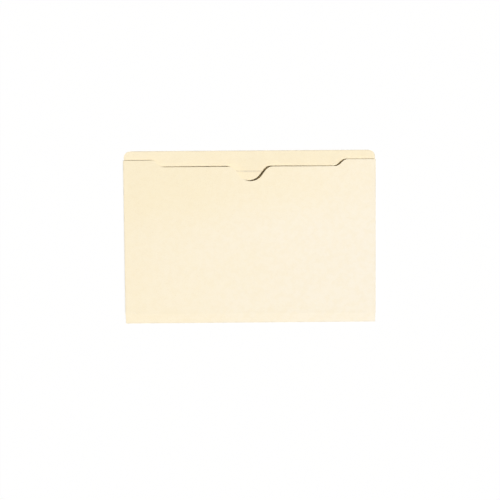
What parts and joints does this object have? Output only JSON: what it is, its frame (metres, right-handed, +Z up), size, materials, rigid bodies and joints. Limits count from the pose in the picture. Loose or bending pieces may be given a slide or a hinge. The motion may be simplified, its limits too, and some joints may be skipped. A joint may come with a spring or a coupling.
{
  "type": "file jacket",
  "caption": "Flat card jacket for loose papers: closed sides and bottom with expansion folds, an open mouth with a thumb notch, and a straight two-ply tab.",
  "frame": {"origin": "middle of the outline, on the surface that the jacket lies on, under the back panel's outer face", "axes": "+X to the right along the tab, +Y from the bottom fold towards the tab, +Z up through the front panel"},
  "size_m": [0.3746, 0.257, 0.0055],
  "materials": {
    "manila_card": "matte manila card with fine fibre flecks",
    "folded_card": "matte manila card, slightly worn along the fold",
    "glue_film": "thin dried glue, between two layers of card"
  },
  "bodies": {
    "back": {"back_panel": "manila_card", "tab_front_ply": "manila_card", "tab_top_fold": "folded_card", "tab_glue": "glue_film", "left_glue_flap": "manila_card", "right_glue_flap": "manila_card", "left_flap_glue": "glue_film", "right_flap_glue": "glue_film", "left_rear_fold": "folded_card", "right_rear_fold": "folded_card", "bottom_rear_score": "folded_card"},
    "bottom_rear": {"bottom_rear_strip": "manila_card", "bottom_fold": "folded_card"},
    "bottom_front": {"bottom_front_strip": "manila_card", "bottom_front_score": "folded_card"},
    "front": {"front_panel": "manila_card", "left_front_fold": "folded_card", "right_front_fold": "folded_card"},
    "left_rear_half": {"left_gusset_rear": "manila_card", "left_gusset_crease": "folded_card"},
    "left_front_half": {"left_gusset_front": "manila_card"},
    "right_rear_half": {"right_gusset_rear": "manila_card", "right_gusset_crease": "folded_card"},
    "right_front_half": {"right_gusset_front": "manila_card"}
  },
  "joints": [
    {"name": "rear_score_turn", "type": "hinge", "parent": "back", "child": "bottom_rear", "pos_m": [0, -0.11567, 0.00067], "axis": [-1, 0, 0], "range_deg": [-8.5, 69], "stiffness_Nm_per_rad": 0.02, "springref_deg": -57.22},
    {"name": "expand", "type": "hinge", "parent": "bottom_rear", "child": "bottom_front", "pos_m": [0, -0.12817, 0.00292], "axis": [1, 0, 0], "range_deg": [-17, 138], "stiffness_Nm_per_rad": 0.02, "springref_deg": 64.3},
    {"name": "front_score_turn", "type": "hinge", "parent": "bottom_front", "child": "front", "pos_m": [0, -0.11567, 0.00518], "axis": [-1, 0, 0], "range_deg": [-8.5, 69], "stiffness_Nm_per_rad": 0.02, "springref_deg": -57.6},
    {"name": "left_rear_fold_turn", "type": "hinge", "parent": "back", "child": "left_rear_half", "pos_m": [-0.18699, 0, 0.00067], "axis": [0, -1, 0], "range_deg": [-8.5, 69], "stiffness_Nm_per_rad": 0.0005, "springref_deg": 8.85},
    {"name": "left_crease_turn", "type": "hinge", "parent": "left_rear_half", "child": "left_front_half", "pos_m": [-0.17449, 0, 0.00292], "axis": [0, 1, 0], "range_deg": [-17, 138], "stiffness_Nm_per_rad": 0.0005, "springref_deg": 4.09},
    {"name": "right_rear_fold_turn", "type": "hinge", "parent": "back", "child": "right_rear_half", "pos_m": [0.18699, 0, 0.00067], "axis": [0, 1, 0], "range_deg": [-8.5, 69], "stiffness_Nm_per_rad": 0.0005, "springref_deg": 8.85},
    {"name": "right_crease_turn", "type": "hinge", "parent": "right_rear_half", "child": "right_front_half", "pos_m": [0.17449, 0, 0.00292], "axis": [0, -1, 0], "range_deg": [-17, 138], "stiffness_Nm_per_rad": 0.0005, "springref_deg": 4.09}
  ],
  "couplings": [
    {"joint": "rear_score_turn", "follows": "expand", "ratio": 0.5},
    {"joint": "front_score_turn", "follows": "expand", "ratio": 0.5},
    {"joint": "left_rear_fold_turn", "follows": "expand", "ratio": 0.5},
    {"joint": "left_crease_turn", "follows": "expand", "ratio": 1},
    {"joint": "right_rear_fold_turn", "follows": "expand", "ratio": 0.5},
    {"joint": "right_crease_turn", "follows": "expand", "ratio": 1}
  ]
}
